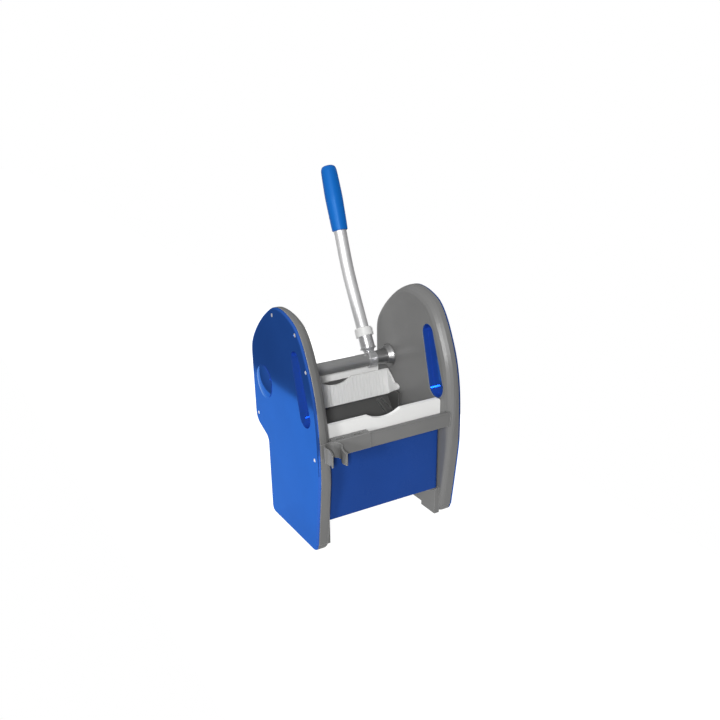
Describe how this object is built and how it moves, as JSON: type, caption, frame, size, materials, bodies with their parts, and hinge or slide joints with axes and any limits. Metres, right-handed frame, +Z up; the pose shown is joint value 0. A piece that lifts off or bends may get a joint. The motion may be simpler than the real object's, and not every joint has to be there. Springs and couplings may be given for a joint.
{
  "type": "mop wringer",
  "caption": "Down-press mop wringer: two hollow side casings, a front crossbar with handle clip, a geared hand lever and a hinged press jaw.",
  "frame": {"origin": "on the floor, below the middle of the overall box", "axes": "+Z up, -Y out of the front with the crossbar, +X to the side that the lever stands on"},
  "size_m": [0.312, 0.43, 0.6258],
  "materials": {
    "blue_shell": "glossy moulded plastic",
    "blue_grip": "satin moulded grip",
    "gray_shell": "satin moulded plastic",
    "white_plate": "satin moulded plastic",
    "bright_alloy": "satin drawn tube",
    "gear_nylon": "moulded nylon",
    "gray_tube": "dull drawn tube",
    "bearing_metal": "satin cast metal",
    "steel": "zinc plated"
  },
  "bodies": {
    "frame": {"left_inner_casing": "gray_shell", "right_inner_casing": "gray_shell", "left_outer_cover": "blue_shell", "right_outer_cover": "blue_shell", "left_cover_screws": "steel", "right_cover_screws": "steel", "front_crossbar": "gray_shell", "crossbar_screws": "steel", "mop_handle_clip": "gray_shell", "front_press_plate": "white_plate", "front_plate_screws": "steel", "front_panel": "blue_shell", "back_wall": "gray_shell", "rear_plate": "white_plate", "drain_grid": "gray_shell", "left_shaft_bearing": "bearing_metal", "right_shaft_bearing": "bearing_metal", "left_axle_bush": "gear_nylon", "right_axle_bush": "gear_nylon", "left_idler_pin": "steel", "right_idler_pin": "steel"},
    "lever": {"drive_shaft": "gray_tube", "left_drive_gear": "gear_nylon", "right_drive_gear": "gear_nylon", "shaft_end_screws": "steel", "lever_tee": "bright_alloy", "tee_set_screw": "steel", "lever_socket": "bright_alloy", "lever_collar": "white_plate", "lever_tube": "bright_alloy", "lever_grip": "blue_grip"},
    "left_idler": {"left_idler_gear": "gear_nylon"},
    "right_idler": {"right_idler_gear": "gear_nylon"},
    "jaw": {"jaw_axle": "steel", "left_jaw_gear": "gear_nylon", "right_jaw_gear": "gear_nylon", "jaw_gear_clips": "steel", "jaw_carrier": "gray_shell", "jaw_plate": "white_plate", "jaw_plate_screws": "steel"}
  },
  "joints": [
    {"name": "lever_pivot", "type": "hinge", "parent": "frame", "child": "lever", "pos_m": [0, 0.04736, 0.272], "axis": [1, 0, 0], "range_deg": [0, 115]},
    {"name": "left_idler_spin", "type": "hinge", "parent": "frame", "child": "left_idler", "pos_m": [-0.1355, -0.00384, 0.21699], "axis": [1, 0, 0], "range_deg": [-65, 0]},
    {"name": "right_idler_spin", "type": "hinge", "parent": "frame", "child": "right_idler", "pos_m": [0.1355, -0.00384, 0.21699], "axis": [1, 0, 0], "range_deg": [-65, 0]},
    {"name": "jaw_pivot", "type": "hinge", "parent": "frame", "child": "jaw", "pos_m": [0, -0.01964, 0.11], "axis": [1, 0, 0], "range_deg": [0, 52]}
  ],
  "couplings": [
    {"joint": "left_idler_spin", "follows": "lever_pivot", "ratio": -0.5625},
    {"joint": "right_idler_spin", "follows": "lever_pivot", "ratio": -0.5625},
    {"joint": "jaw_pivot", "follows": "lever_pivot", "ratio": 0.45}
  ]
}
